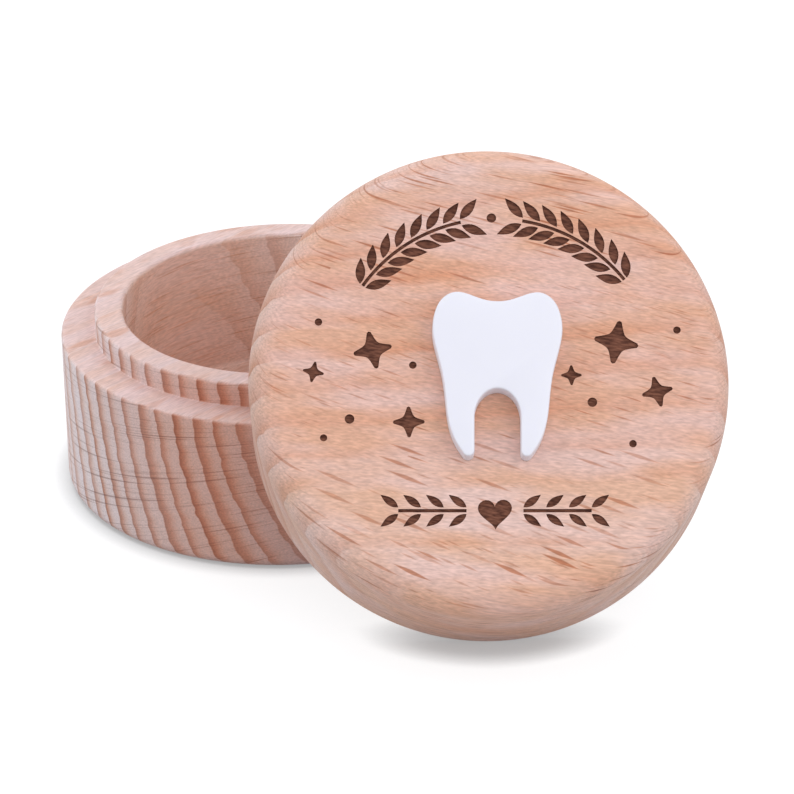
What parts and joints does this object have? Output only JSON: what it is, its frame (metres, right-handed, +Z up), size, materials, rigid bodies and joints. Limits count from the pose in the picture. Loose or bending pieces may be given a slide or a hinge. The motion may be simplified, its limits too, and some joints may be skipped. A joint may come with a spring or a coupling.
{
  "type": "baby tooth box",
  "caption": "Round turned wooden keepsake box for baby teeth, open, its thick lid leaning against the base, with a flat white tooth figure glued on the lid's face.",
  "frame": {"origin": "centre of the base's underside, on the table", "axes": "+Z up along the base's axis; -Y is the side that the lid leans on and faces; the lid stands to the +X side of the middle"},
  "size_m": [0.086, 0.0931, 0.0566],
  "materials": {
    "beech_base": "finely sanded, unvarnished beech, end grain on the front",
    "beech_lid": "finely sanded, unvarnished beech, flat-sawn face with laser engraving",
    "adhesive_film": "clear double-sided adhesive film",
    "white_acrylic": "white acrylic sheet, soft gloss, cut edges"
  },
  "bodies": {
    "base": {"base": "beech_base"},
    "lid": {"lid": "beech_lid", "tooth_adhesive": "adhesive_film", "tooth": "white_acrylic"}
  },
  "joints": [
    {"name": "lid_lift", "type": "slide", "parent": "base", "child": "lid", "axis": [0, 0, 1], "range_m": [0, 0.05]}
  ]
}
